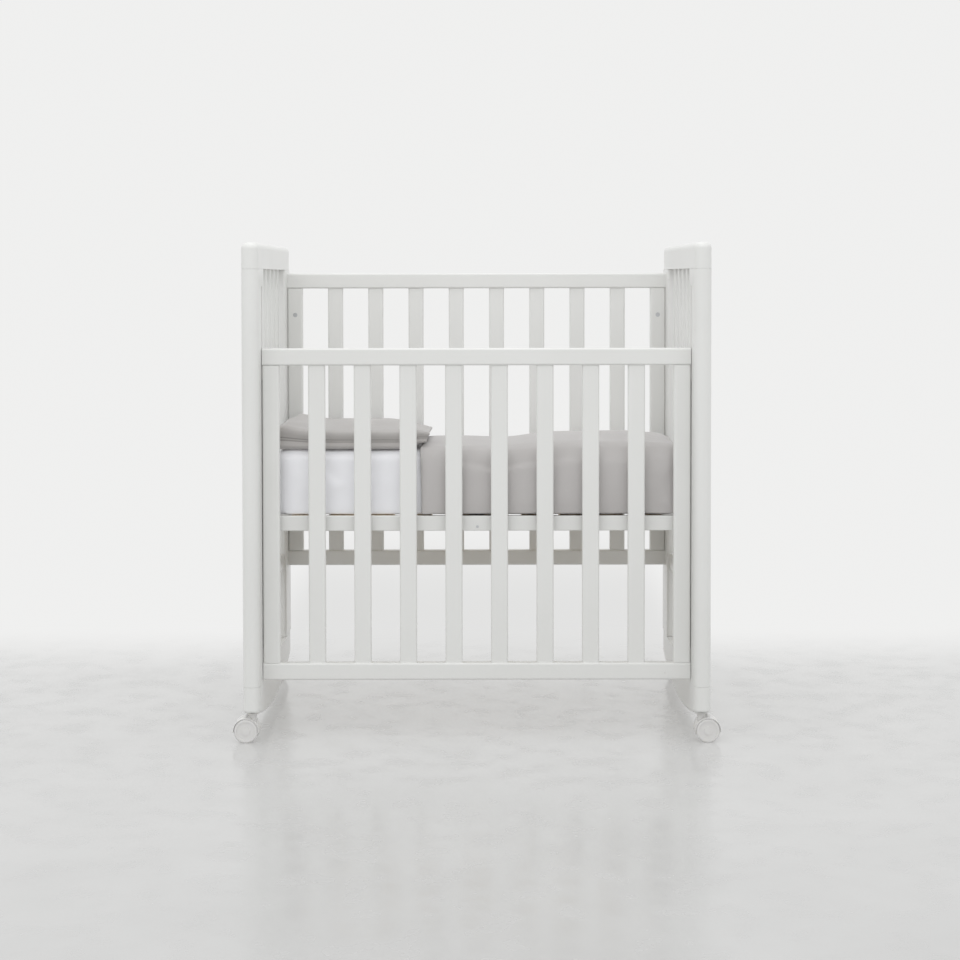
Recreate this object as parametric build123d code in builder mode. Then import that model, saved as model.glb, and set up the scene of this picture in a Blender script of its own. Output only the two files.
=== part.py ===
from build123d import *
import os

# A baby's crib on casters. X runs along it, Y from its front to its back, and Z up from the floor.
# Sizes are in millimetres. The front side stands at its lowest, 150 below the fixed back.
# Each end is a cap and two posts on a rocker base, so the crib rocks once its casters are pulled out.

# The whole crib
crib_length = 922  # over the outer faces of the posts
crib_depth = 638
crib_height = 987

# Ends
board = 34  # thickness of the caps, posts and bases
nose_flat = 1  # half of what the rounding leaves flat on a nose
cap_height = 52
cap_round = 12
post_depth = 100
post_round = 6  # the edges beside the end slats
joint_chamfer = 0.8
base_top = 111
base_low = 26  # the underside at the middle
base_round = 6
rocker_radius = 1450
end_slat_count = 5
end_slat_width = 34
end_slat_thickness = 16
end_rail_height = 34
end_rail_thickness = 24

# Slatted sides, front and back alike
side_height = 662
side_top = 927  # of the back, and of the front side when it is up
travel = 150
front_set_back = 56  # from the posts' noses to the front side
back_set_in = 26  # from the rear noses to the back side
bar_height = 34
bar_depth = 22
bar_round = 4
stile_width = 34
stile_thickness = 20
slat_count = 8
slat_width = 34
slat_thickness = 14
slat_round = 4

# Tenons on every slat and stile
tenon_length = 12
tenon_shoulder = 4
tenon_clearance = 0.1
tenon_tip_clearance = 1

# Slide of the front side
slide_gap = 1  # between a stile and a post
channel_width = 14
channel_depth = 9
channel_wall = 1.5
channel_end = 4
slider_length = 40
slider_clearance = 0.3
slider_reach = 6.2  # past the post's face
slider_inset = 45  # from the side's top and bottom to a slider's middle
slider_end_gap = 0.2
peg_radius = 4
peg_length = 20
peg_clearance = 0.05

# Catches that hold the front side up
catch_drop = 230  # from the raised side's top to the keeper studs
catch_behind = 14.5  # from the side's rear face to the pivot
catch_gap = 0.3  # between a closed catch and its stud, and between its hub and the post
catch_arm = 13
catch_arm_height = 8
catch_arm_thickness = 6.5
catch_hub_radius = 5.5
knob_radius = 11
knob_thickness = 14
knob_grips = 8
knob_grip_radius = 1.6
knob_stand_off = 15  # from the post's face to the knob
knob_gap = 0.5  # between the knob and the arm
pivot_radius = 3
pivot_head_radius = 5
pivot_head_height = 3
pivot_grip = 20  # length held in the post
running_clearance = 0.05
stud_radius = 3
stud_in = 11  # from the stile's outer edge
stud_reach = 7.5
stud_grip = 12

# Platform
platform_top = 440
platform_height = 30
platform_gap = 5  # behind the front side
platform_back_gap = 3
platform_end_gap = 4
platform_rail = 24
platform_round = 2
platform_slat_count = 10
platform_slat_width = 50
platform_slat_thickness = 10
ledge = 12
centre_rail = 30
angle_leg = 30
angle_thickness = 3
angle_end_gap = 3
level_step = 110  # between the heights at which the platform can be bolted
platform_bolt_radius = 3
platform_bolt_length = 20
bolt_head_radius = 6
bolt_head_height = 5
bolt_drop = 17  # below the angle's top
bolt_from_edge = 10  # from the front post's rear edge
rear_bolt_in = 25

# Bolts between the posts and the back side
back_bolt_radius = 3
back_bolt_past = 5  # past the barrel nut's middle
back_bolt_inset = 94  # from the side's top and bottom
barrel_radius = 5
barrel_length = 17
hole_clearance = 0.3

# Bedding
mattress_top = 572
mattress_end_gap = 13
mattress_front_gap = 12
mattress_back_gap = 9
mattress_corner = 25
mattress_edge = 14
quilt_left = -112
quilt_rise = 24
quilt_side = 5.5
quilt_clearance = 0.3
quilt_hem = 3  # above the platform
quilt_edge = 12
pillow_left = -412
pillow_right = -118
pillow_height = 36
pillow_gap = 8  # from the mattress's front and back
pillow_edge = 13

# Casters
wheel_radius = 23.5
wheel_width = 15
wheel_edge = 2
wheel_hub_radius = 8
wheel_dish_radius = 18
wheel_dish = 1.5
web_thickness = 10
wheel_gap = 0.5
hood_gap = 0.6
hood_wall = 1.4
hood_skirt = 3  # below the axle
web_skirt = 12
axle_radius = 3
axle_seat = 12  # depth of each wheel's bore
caster_trail = 12
caster_from_end = 28
fork_boss_radius = 8
boss_root = 12  # above the axle
stem_chamfer = 1
stem_radius = 4
stem_foot = 7  # above the axle
stem_grip = 32
socket_radius = 6.5
flange_radius = 12
flange_thickness = 2.5
spot_height = 57  # the flat under each base that the flange sits on
socket_gap = 0.3
press_clearance = 0.02

# Places worked out from the sizes
half_length = crib_length / 2
half_depth = crib_depth / 2
inner_x = half_length - board
end_x = half_length - board / 2
post_y = half_depth - post_depth / 2
nose_round = board / 2 - nose_flat
post_top = crib_height - cap_height
end_rail_bottom = side_top - side_height
front_face = -half_depth + front_set_back
front_middle = front_face + bar_depth / 2
front_rear = front_face + bar_depth
front_bottom = side_top - side_height - travel
back_face = half_depth - back_set_in - bar_depth
back_middle = back_face + bar_depth / 2
front_length = 2 * (inner_x - slide_gap)
back_length = 2 * inner_x
channel_low = front_bottom + slider_inset - slider_length / 2 - slider_end_gap - channel_end
channel_high = side_top - slider_inset + slider_length / 2 + slider_end_gap + channel_end
stud_z = side_top - catch_drop
catch_y = front_rear + catch_behind
catch_z = stud_z - stud_radius - catch_gap - catch_arm_height / 2
stud_x = inner_x - slide_gap - stud_in
knob_x = inner_x - knob_stand_off
platform_front = front_rear + platform_gap
platform_rear = back_face - platform_back_gap
platform_x = inner_x - platform_end_gap
platform_bottom = platform_top - platform_height
platform_middle = (platform_front + platform_rear) / 2
angle_front = front_rear + angle_end_gap
angle_rear = back_face - angle_end_gap
bolt_z = platform_bottom - bolt_drop
bolt_levels = [bolt_z - level_step, bolt_z, bolt_z + level_step]
front_bolt_y = -half_depth + post_depth - bolt_from_edge
rear_bolt_y = half_depth - post_depth + rear_bolt_in
back_bolt_z = [side_top - side_height + back_bolt_inset, side_top - back_bolt_inset]
barrel_x = inner_x - stile_width / 2
mattress_x = inner_x - mattress_end_gap
mattress_front = front_rear + mattress_front_gap
mattress_rear = back_face - mattress_back_gap
mattress_middle = (mattress_front + mattress_rear) / 2
caster_y = half_depth - caster_from_end
ends = (("left", -1), ("right", 1))
corners = [(f"{row}_{end}", sx, sy) for row, sy in (("front", -1), ("rear", 1)) for end, sx in ends]


def spaced(count, width, span):
    """Centres of equal pieces that share a span with equal gaps, measured from its middle."""
    gap = (span - count * width) / (count + 1)
    return [-span / 2 + gap + width / 2 + i * (width + gap) for i in range(count)]


def across(x, y, z, direction):
    """A plane that stands on the X axis at a point, and whose own X runs along Y."""
    return Plane(origin=(x, y, z), x_dir=(0, 1, 0), z_dir=(direction, 0, 0))


def cut_mortises(places, width, thickness, level, direction):
    """Cuts seats for tenons into the part being built, up or down from a level."""
    with BuildSketch(Plane.XY.offset(level)) as seats:
        with Locations(*places):
            Rectangle(
                width - 2 * tenon_shoulder + 2 * tenon_clearance,
                thickness - 2 * tenon_shoulder + 2 * tenon_clearance,
            )
    extrude(seats.sketch, amount=direction * (tenon_length + tenon_tip_clearance), mode=Mode.SUBTRACT)


def add_slats(places, width, thickness, low, high):
    """Adds slats with rounded edges and a tenon at each end to the part being built."""
    with BuildSketch(Plane.XY.offset(low)) as sections:
        with Locations(*places):
            RectangleRounded(width, thickness, slat_round)
    extrude(sections.sketch, amount=high - low)
    with BuildSketch(Plane.XY.offset(low - tenon_length)) as tenons:
        with Locations(*places):
            Rectangle(width - 2 * tenon_shoulder, thickness - 2 * tenon_shoulder)
    extrude(tenons.sketch, amount=high - low + 2 * tenon_length)


os.makedirs("parts", exist_ok=True)

# Caps, rounded along their top edges and at both noses
end_slat_y = spaced(end_slat_count, end_slat_width, crib_depth - 2 * post_depth)
for end, sign in ends:
    slat_places = [(sign * end_x, y) for y in end_slat_y]
    with BuildPart() as cap:
        with BuildSketch(Plane.XY.offset(post_top)):
            with Locations((sign * end_x, 0)):
                RectangleRounded(board, crib_depth, nose_round)
        extrude(amount=cap_height)
        fillet(cap.faces().sort_by(Axis.Z)[-1].edges(), cap_round)
        cut_mortises(slat_places, end_slat_thickness, end_slat_width, post_top, 1)
    cap.part.label = f"{end}_cap"
    export_step(cap.part, f"parts/{end}_cap.step")

    # The lower rail that the end slats stand on
    with BuildPart() as end_rail:
        with BuildSketch(Plane.XY.offset(end_rail_bottom)):
            with Locations((sign * end_x, 0)):
                Rectangle(end_rail_thickness, crib_depth - 2 * post_depth)
        extrude(amount=end_rail_height)
        fillet(end_rail.edges().filter_by(Axis.Y), bar_round)
        rail_top = end_rail_bottom + end_rail_height
        cut_mortises(slat_places, end_slat_thickness, end_slat_width, rail_top, -1)
    end_rail.part.label = f"{end}_lower_rail"
    export_step(end_rail.part, f"parts/{end}_lower_rail.step")

    with BuildPart() as end_slats:
        add_slats(slat_places, end_slat_thickness, end_slat_width, rail_top, post_top)
    end_slats.part.label = f"{end}_end_slats"
    export_step(end_slats.part, f"parts/{end}_end_slats.step")

    # The rocker base, with a bore and a flat for each caster's socket
    with BuildPart() as base:
        with BuildSketch(Plane.XY.offset(base_low)):
            with Locations((sign * end_x, 0)):
                RectangleRounded(board, crib_depth, nose_round)
        extrude(amount=base_top - base_low)
        with BuildSketch(across(sign * end_x, 0, base_low + rocker_radius, 1)):
            Circle(rocker_radius)
        extrude(amount=board, both=True, mode=Mode.INTERSECT)
        fillet(base.faces().sort_by(Axis.Z)[0].edges(), base_round)
        for row in (-1, 1):
            with BuildSketch(Plane.XY):
                with Locations((sign * end_x, row * caster_y)):
                    Circle(flange_radius + hole_clearance)
            extrude(amount=spot_height, mode=Mode.SUBTRACT)
            with BuildSketch(Plane.XY.offset(spot_height)):
                with Locations((sign * end_x, row * caster_y)):
                    Circle(socket_radius + press_clearance)
            extrude(amount=stem_grip + hole_clearance, mode=Mode.SUBTRACT)
    base.part.label = f"{end}_rocker_base"
    export_step(base.part, f"parts/{end}_rocker_base.step")

# Posts: the front pair is grooved for the slide, the rear pair is bored for the back side's bolts
for corner, sx, sy in corners:
    is_front = sy < 0
    with BuildPart() as post:
        with BuildSketch(Plane.XY.offset(base_top)):
            with Locations((sx * end_x, sy * post_y)):
                Rectangle(board, post_depth)
            front_corners = vertices().group_by(Axis.Y)[0]
            rear_corners = vertices().group_by(Axis.Y)[-1]
            fillet(front_corners, nose_round if is_front else post_round)
            fillet(rear_corners, post_round if is_front else nose_round)
        extrude(amount=post_top - base_top)
        chamfer(post.faces().sort_by(Axis.Z)[0].edges(), joint_chamfer)
        chamfer(post.faces().sort_by(Axis.Z)[-1].edges(), joint_chamfer)
        bolt_y = front_bolt_y if is_front else rear_bolt_y
        for level in bolt_levels:
            with BuildSketch(across(sx * inner_x, bolt_y, level, sx)):
                Circle(platform_bolt_radius + running_clearance)
            extrude(amount=platform_bolt_length + hole_clearance, mode=Mode.SUBTRACT)
        if is_front:
            with BuildSketch(across(sx * inner_x, front_middle, (channel_low + channel_high) / 2, sx)):
                SlotOverall(channel_high - channel_low, channel_width, rotation=90)
            extrude(amount=channel_depth, mode=Mode.SUBTRACT)
            with BuildSketch(across(sx * inner_x, catch_y, catch_z, sx)):
                Circle(pivot_radius + press_clearance)
            extrude(amount=pivot_grip + hole_clearance, mode=Mode.SUBTRACT)
        else:
            for z in back_bolt_z:
                with BuildSketch(across(sx * inner_x, back_middle, z, sx)):
                    Circle(back_bolt_radius + hole_clearance)
                extrude(amount=board, mode=Mode.SUBTRACT)
                with BuildSketch(across(sx * half_length, back_middle, z, -sx)):
                    Circle(bolt_head_radius + hole_clearance)
                extrude(amount=bolt_head_height + hole_clearance, mode=Mode.SUBTRACT)
    post.part.label = f"{corner}_post"
    export_step(post.part, f"parts/{corner}_post.step")

# Both sides: bars over the whole length, with the stiles and slats tenoned between them
for side, length, face, bottom in (
    ("back", back_length, back_face, side_top - side_height),
    ("front", front_length, front_face, front_bottom),
):
    middle = face + bar_depth / 2
    slats_low = bottom + bar_height
    slats_high = bottom + side_height - bar_height
    slat_places = [(x, middle) for x in spaced(slat_count, slat_width, length - 2 * stile_width)]
    stile_x = (length - stile_width) / 2
    stile_places = [(-stile_x, middle), (stile_x, middle)]
    for name, low, seat, direction in (
        ("bottom_bar", bottom, slats_low, -1),
        ("top_bar", slats_high, slats_high, 1),
    ):
        with BuildPart() as bar:
            with BuildSketch(Plane.XY.offset(low)):
                with Locations((0, middle)):
                    Rectangle(length, bar_depth)
            extrude(amount=bar_height)
            fillet(bar.edges().filter_by(Axis.X), bar_round)
            cut_mortises(slat_places, slat_width, slat_thickness, seat, direction)
            cut_mortises(stile_places, stile_width, stile_thickness, seat, direction)
        bar.part.label = f"{side}_{name}"
        export_step(bar.part, f"parts/{side}_{name}.step")

    with BuildPart() as slats:
        add_slats(slat_places, slat_width, slat_thickness, slats_low, slats_high)
    slats.part.label = f"{side}_slats"
    export_step(slats.part, f"parts/{side}_slats.step")

    for end, sign in ends:
        with BuildPart() as stile:
            add_slats([(sign * stile_x, middle)], stile_width, stile_thickness, slats_low, slats_high)
            if side == "back":
                for z in back_bolt_z:
                    with BuildSketch(across(sign * length / 2, middle, z, -sign)):
                        Circle(back_bolt_radius + hole_clearance)
                    extrude(amount=stile_width / 2 + back_bolt_past + hole_clearance, mode=Mode.SUBTRACT)
                    with BuildSketch(Plane.XZ.offset(-middle - barrel_length / 2)):
                        with Locations((sign * barrel_x, z)):
                            Circle(barrel_radius + press_clearance)
                    extrude(amount=stile_thickness + barrel_length, mode=Mode.SUBTRACT)
            else:
                for z in (bottom + slider_inset, bottom + side_height - slider_inset):
                    with BuildSketch(across(sign * length / 2, middle, z, -sign)):
                        Circle(peg_radius + peg_clearance)
                    extrude(amount=peg_length + hole_clearance, mode=Mode.SUBTRACT)
                with BuildSketch(Plane.XZ.offset(-middle - stile_thickness / 2)):
                    with Locations((sign * stud_x, stud_z - travel)):
                        Circle(stud_radius + press_clearance)
                extrude(amount=stud_grip + hole_clearance, mode=Mode.SUBTRACT)
        stile.part.label = f"{side}_{end}_stile"
        export_step(stile.part, f"parts/{side}_{end}_stile.step")

# Bolts with cylinder heads that hold the back side between the rear posts, and their barrel nuts
with BuildPart() as back_bolts:
    for end, sign in ends:
        for z in back_bolt_z:
            with BuildSketch(across(sign * (half_length - bolt_head_height), back_middle, z, sign)):
                Circle(bolt_head_radius)
                RegularPolygon(platform_bolt_radius, 6, mode=Mode.SUBTRACT)
            extrude(amount=bolt_head_height)
            with BuildSketch(across(sign * (barrel_x - back_bolt_past), back_middle, z, sign)):
                Circle(back_bolt_radius)
            extrude(amount=half_length - bolt_head_height - barrel_x + back_bolt_past)
back_bolts.part.label = "back_side_bolts"
export_step(back_bolts.part, "parts/back_side_bolts.step")

with BuildPart() as barrel_nuts:
    for end, sign in ends:
        for z in back_bolt_z:
            with BuildSketch(Plane.XZ.offset(-back_middle - barrel_length / 2)):
                with Locations((sign * barrel_x, z)):
                    Circle(barrel_radius)
            extrude(amount=barrel_length)
            with BuildSketch(across(sign * (barrel_x - barrel_radius), back_middle, z, sign)):
                Circle(back_bolt_radius + running_clearance)
            extrude(amount=2 * barrel_radius, mode=Mode.SUBTRACT)
barrel_nuts.part.label = "back_side_barrel_nuts"
export_step(barrel_nuts.part, "parts/back_side_barrel_nuts.step")

# Guide channels: long trays let into the front posts, which the sliders run in
with BuildPart() as channels:
    for end, sign in ends:
        with BuildSketch(across(sign * inner_x, front_middle, (channel_low + channel_high) / 2, sign)):
            SlotOverall(channel_high - channel_low, channel_width, rotation=90)
        extrude(amount=channel_depth)
        with BuildSketch(across(sign * inner_x, front_middle, (channel_low + channel_high) / 2, sign)):
            SlotOverall(
                channel_high - channel_low - 2 * channel_end,
                channel_width - 2 * channel_wall,
                rotation=90,
            )
        extrude(amount=channel_depth - channel_wall, mode=Mode.SUBTRACT)
channels.part.label = "guide_channels"
export_step(channels.part, "parts/guide_channels.step")

# Sliders: a shoe that runs in the channel, on a peg in the stile's edge
with BuildPart() as sliders:
    for end, sign in ends:
        for z in (front_bottom + slider_inset, front_bottom + side_height - slider_inset):
            with BuildSketch(across(sign * (inner_x - slide_gap), front_middle, z, sign)):
                SlotOverall(
                    slider_length,
                    channel_width - 2 * channel_wall - 2 * slider_clearance,
                    rotation=90,
                )
            extrude(amount=slide_gap + slider_reach)
            with BuildSketch(across(sign * (inner_x - slide_gap), front_middle, z, -sign)):
                Circle(peg_radius)
            extrude(amount=peg_length)
sliders.part.label = "front_side_sliders"
export_step(sliders.part, "parts/front_side_sliders.step")

# Keeper studs in the stiles' rear faces
with BuildPart() as studs:
    with BuildSketch(Plane.XZ.offset(-front_middle - stile_thickness / 2 - stud_reach)):
        with Locations((-stud_x, stud_z - travel), (stud_x, stud_z - travel)):
            Circle(stud_radius)
    extrude(amount=stud_reach + stud_grip)
studs.part.label = "keeper_studs"
export_step(studs.part, "parts/keeper_studs.step")

# Catches: an arm that hangs open and turns forward under the raised side's stud, with a grip knob
knob_face = knob_x - knob_thickness
hub_start = knob_face + pivot_head_height + hole_clearance
hub_length = inner_x - catch_gap - hub_start
for end, sign in ends:
    with BuildPart() as arm:
        with BuildSketch(across(sign * hub_start, catch_y, catch_z, sign)):
            Circle(catch_hub_radius)
        extrude(amount=hub_length)
        with BuildSketch(across(sign * (knob_x + knob_gap), catch_y, catch_z - catch_arm / 2, sign)):
            Rectangle(catch_arm_height, catch_arm)
        extrude(amount=catch_arm_thickness)
        with BuildSketch(across(sign * hub_start, catch_y, catch_z, sign)):
            Circle(pivot_radius + running_clearance)
        extrude(amount=hub_length, mode=Mode.SUBTRACT)
    arm.part.label = f"{end}_catch_arm"
    export_step(arm.part, f"parts/{end}_catch_arm.step")

    with BuildPart() as knob:
        with BuildSketch(across(sign * knob_face, catch_y, catch_z, sign)):
            Circle(knob_radius)
            Circle(catch_hub_radius + press_clearance, mode=Mode.SUBTRACT)
            with PolarLocations(knob_radius + knob_grip_radius / 2, knob_grips):
                Circle(knob_grip_radius, mode=Mode.SUBTRACT)
        extrude(amount=knob_thickness)
    knob.part.label = f"{end}_catch_knob"
    export_step(knob.part, f"parts/{end}_catch_knob.step")

# Shoulder screws that the catches turn on
with BuildPart() as pivots:
    for end, sign in ends:
        with BuildSketch(across(sign * knob_face, catch_y, catch_z, sign)):
            Circle(pivot_head_radius)
        extrude(amount=pivot_head_height)
        with BuildSketch(across(sign * knob_face, catch_y, catch_z, sign)):
            Circle(pivot_radius)
        extrude(amount=knob_thickness + knob_stand_off + pivot_grip)
pivots.part.label = "catch_pivot_screws"
export_step(pivots.part, "parts/catch_pivot_screws.step")

# Platform: a frame whose long rails are rebated for the slats
for name, face, inner_face in (
    ("platform_front_rail", platform_front, platform_front + platform_rail),
    ("platform_rear_rail", platform_rear, platform_rear - platform_rail),
):
    with BuildPart() as long_rail:
        with BuildSketch(Plane.XY.offset(platform_bottom)):
            with Locations((0, (face + inner_face) / 2)):
                Rectangle(2 * platform_x, platform_rail)
        extrude(amount=platform_height)
        with BuildSketch(Plane.XY.offset(platform_top)):
            with Locations((0, inner_face)):
                Rectangle(2 * (platform_x - platform_rail), 2 * ledge)
        extrude(amount=-platform_slat_thickness, mode=Mode.SUBTRACT)
        outer_face = long_rail.faces().sort_by(Axis.Y)[0 if face < inner_face else -1]
        fillet(outer_face.edges().filter_by(Axis.X), platform_round)
    long_rail.part.label = name
    export_step(long_rail.part, f"parts/{name}.step")

cross_length = platform_rear - platform_front - 2 * platform_rail
with BuildPart() as end_rails:
    with BuildSketch(Plane.XY.offset(platform_bottom)):
        for end, sign in ends:
            with Locations((sign * (platform_x - platform_rail / 2), platform_middle)):
                Rectangle(platform_rail, cross_length)
    extrude(amount=platform_height)
end_rails.part.label = "platform_end_rails"
export_step(end_rails.part, "parts/platform_end_rails.step")

with BuildPart() as middle_rail:
    with BuildSketch(Plane.XY.offset(platform_bottom)):
        with Locations((0, platform_middle)):
            Rectangle(centre_rail, cross_length)
    extrude(amount=platform_height - platform_slat_thickness)
middle_rail.part.label = "platform_centre_rail"
export_step(middle_rail.part, "parts/platform_centre_rail.step")

with BuildPart() as platform_slats:
    places = spaced(platform_slat_count, platform_slat_width, 2 * (platform_x - platform_rail))
    with BuildSketch(Plane.XY.offset(platform_top - platform_slat_thickness)):
        with Locations(*[(x, platform_middle) for x in places]):
            Rectangle(platform_slat_width, cross_length + 2 * ledge)
    extrude(amount=platform_slat_thickness)
platform_slats.part.label = "platform_slats"
export_step(platform_slats.part, "parts/platform_slats.step")

# Steel angles that carry the platform, bolted to the posts at one of three heights
with BuildPart() as angles:
    for end, sign in ends:
        with BuildSketch(Plane.XZ.offset(-angle_rear)):
            with BuildLine():
                Polyline(
                    (sign * inner_x, platform_bottom),
                    (sign * (inner_x - angle_leg), platform_bottom),
                    (sign * (inner_x - angle_leg), platform_bottom - angle_thickness),
                    (sign * (inner_x - angle_thickness), platform_bottom - angle_thickness),
                    (sign * (inner_x - angle_thickness), platform_bottom - angle_leg),
                    (sign * inner_x, platform_bottom - angle_leg),
                    close=True,
                )
            make_face()
        extrude(amount=angle_rear - angle_front)
        for y in (front_bolt_y, rear_bolt_y):
            with BuildSketch(across(sign * inner_x, y, bolt_z, -sign)):
                Circle(platform_bolt_radius + hole_clearance)
            extrude(amount=angle_thickness, mode=Mode.SUBTRACT)
angles.part.label = "platform_angles"
export_step(angles.part, "parts/platform_angles.step")

with BuildPart() as platform_bolts:
    for end, sign in ends:
        for y in (front_bolt_y, rear_bolt_y):
            with BuildSketch(across(sign * (inner_x - angle_thickness), y, bolt_z, -sign)):
                Circle(bolt_head_radius)
            extrude(amount=bolt_head_height)
            with BuildSketch(across(sign * (inner_x - angle_thickness), y, bolt_z, sign)):
                Circle(platform_bolt_radius)
            extrude(amount=angle_thickness + platform_bolt_length)
platform_bolts.part.label = "platform_bolts"
export_step(platform_bolts.part, "parts/platform_bolts.step")

# Bedding: plain closed solids of the right size and place
with BuildPart() as mattress:
    with BuildSketch(Plane.XY.offset(platform_top)):
        with Locations((0, mattress_middle)):
            RectangleRounded(2 * mattress_x, mattress_rear - mattress_front, mattress_corner)
    extrude(amount=mattress_top - platform_top)
    chamfer(mattress.faces().sort_by(Axis.Z)[-1].edges(), mattress_edge)
mattress.part.label = "mattress"
export_step(mattress.part, "parts/mattress.step")

quilt_right = mattress_x + quilt_side
with BuildPart() as quilt:
    quilt_bottom = platform_top + quilt_hem
    with BuildSketch(Plane.XY.offset(quilt_bottom)):
        with Locations(((quilt_left + quilt_right) / 2, mattress_middle)):
            Rectangle(quilt_right - quilt_left, mattress_rear - mattress_front + 2 * quilt_side)
        fillet(vertices().group_by(Axis.X)[-1], mattress_corner + quilt_side)
    extrude(amount=mattress_top + quilt_rise - quilt_bottom)
    chamfer(quilt.faces().sort_by(Axis.Z)[-1].edges(), quilt_edge)
    with BuildSketch(Plane.XY.offset(quilt_bottom)):
        with Locations((0, mattress_middle)):
            RectangleRounded(
                2 * (mattress_x + quilt_clearance),
                mattress_rear - mattress_front + 2 * quilt_clearance,
                mattress_corner + quilt_clearance,
            )
    extrude(amount=mattress_top + quilt_clearance - quilt_bottom, mode=Mode.SUBTRACT)
quilt.part.label = "quilt"
export_step(quilt.part, "parts/quilt.step")

with BuildPart() as pillow:
    with BuildSketch(Plane.XY.offset(mattress_top + quilt_clearance)):
        with Locations(((pillow_left + pillow_right) / 2, mattress_middle)):
            RectangleRounded(
                pillow_right - pillow_left,
                mattress_rear - mattress_front - 2 * pillow_gap,
                mattress_corner,
            )
    extrude(amount=pillow_height)
    chamfer(pillow.edges().group_by(Axis.Z)[-1] + pillow.edges().group_by(Axis.Z)[0], pillow_edge)
pillow.part.label = "pillow"
export_step(pillow.part, "parts/pillow.step")

# Casters: a socket in the base, then a hood on a stem, an axle and two wheels that trail outwards
with BuildPart() as sockets:
    for corner, sx, sy in corners:
        with BuildSketch(Plane.XY.offset(spot_height - flange_thickness)):
            with Locations((sx * end_x, sy * caster_y)):
                Circle(flange_radius)
        extrude(amount=flange_thickness)
        with BuildSketch(Plane.XY.offset(spot_height)):
            with Locations((sx * end_x, sy * caster_y)):
                Circle(socket_radius)
        extrude(amount=stem_grip)
        with BuildSketch(Plane.XY.offset(spot_height - flange_thickness)):
            with Locations((sx * end_x, sy * caster_y)):
                Circle(stem_radius + running_clearance)
        extrude(amount=flange_thickness + stem_grip, mode=Mode.SUBTRACT)
sockets.part.label = "caster_sockets"
export_step(sockets.part, "parts/caster_sockets.step")

boss_top = spot_height - flange_thickness - socket_gap
hood_inner = wheel_radius + hood_gap
hood_outer = hood_inner + hood_wall
hood_half = web_thickness / 2 + wheel_gap + wheel_width
for corner, sx, sy in corners:
    stem_place = (sx * end_x, sy * caster_y)
    wheel_x = sx * (end_x + caster_trail)
    wheel_plane = Plane(origin=(wheel_x, sy * caster_y, wheel_radius), x_dir=(1, 0, 0), z_dir=(0, -1, 0))
    with BuildPart() as hood:
        with BuildSketch(wheel_plane):
            Circle(hood_outer)
            with Locations((0, -hood_outer - hood_skirt)):
                Rectangle(2 * hood_outer, 2 * hood_outer, mode=Mode.SUBTRACT)
        extrude(amount=hood_half, both=True)
        with BuildSketch(Plane.XY.offset(wheel_radius + boss_root)):
            with Locations(stem_place):
                Circle(fork_boss_radius)
        extrude(amount=boss_top - wheel_radius - boss_root)
        with BuildSketch(wheel_plane):
            Circle(hood_inner)
        extrude(amount=hood_half, both=True, mode=Mode.SUBTRACT)
        with BuildSketch(wheel_plane):
            Circle(hood_outer)
            with Locations((0, -hood_outer - web_skirt)):
                Rectangle(2 * hood_outer, 2 * hood_outer, mode=Mode.SUBTRACT)
        extrude(amount=web_thickness / 2, both=True)
        with BuildSketch(Plane.XY.offset(wheel_radius + stem_foot)):
            with Locations(stem_place):
                Circle(stem_radius + press_clearance)
        extrude(amount=spot_height, mode=Mode.SUBTRACT)
        with BuildSketch(wheel_plane):
            Circle(axle_radius + press_clearance)
        extrude(amount=web_thickness, both=True, mode=Mode.SUBTRACT)
    hood.part.label = f"{corner}_caster_hood"
    export_step(hood.part, f"parts/{corner}_caster_hood.step")

    with BuildPart() as stem:
        with BuildSketch(Plane.XY.offset(wheel_radius + stem_foot)):
            with Locations(stem_place):
                Circle(stem_radius)
        extrude(amount=spot_height + stem_grip - wheel_radius - stem_foot)
        chamfer(stem.faces().sort_by(Axis.Z)[-1].edges(), stem_chamfer)
    stem.part.label = f"{corner}_caster_stem"
    export_step(stem.part, f"parts/{corner}_caster_stem.step")

    with BuildPart() as axle:
        with BuildSketch(wheel_plane):
            Circle(axle_radius)
        extrude(amount=web_thickness / 2 + wheel_gap + axle_seat - hole_clearance, both=True)
    axle.part.label = f"{corner}_caster_axle"
    export_step(axle.part, f"parts/{corner}_caster_axle.step")

    with BuildPart() as wheels:
        for facing in (-1, 1):
            near = web_thickness / 2 + wheel_gap
            outward = Plane(
                origin=(wheel_x, sy * caster_y + facing * near, wheel_radius),
                x_dir=(1, 0, 0),
                z_dir=(0, facing, 0),
            )
            with BuildSketch(outward):
                Circle(wheel_radius)
            extrude(amount=wheel_width)
            with BuildSketch(outward.offset(wheel_width)):
                Circle(wheel_dish_radius)
                Circle(wheel_hub_radius, mode=Mode.SUBTRACT)
            extrude(amount=-wheel_dish, mode=Mode.SUBTRACT)
            with BuildSketch(outward):
                Circle(axle_radius + running_clearance)
            extrude(amount=axle_seat, mode=Mode.SUBTRACT)
        chamfer(wheels.edges().filter_by(GeomType.CIRCLE).sort_by(SortBy.RADIUS)[-4:], wheel_edge)
    wheels.part.label = f"{corner}_caster_wheels"
    export_step(wheels.part, f"parts/{corner}_caster_wheels.step")
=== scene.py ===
# %% [markdown]
# # A convertible crib with one side let down
#
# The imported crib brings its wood, hardware and casters as a fixed frame. This lesson adds what a camera
# sees: the lacquer, the plastic and the metal, the bedding, and a pale studio around them. Every length is
# in metres, X runs along the crib, Y from its front to its back, and Z up from the floor.

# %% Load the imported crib
import math

import bpy
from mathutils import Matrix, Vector, noise


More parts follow.
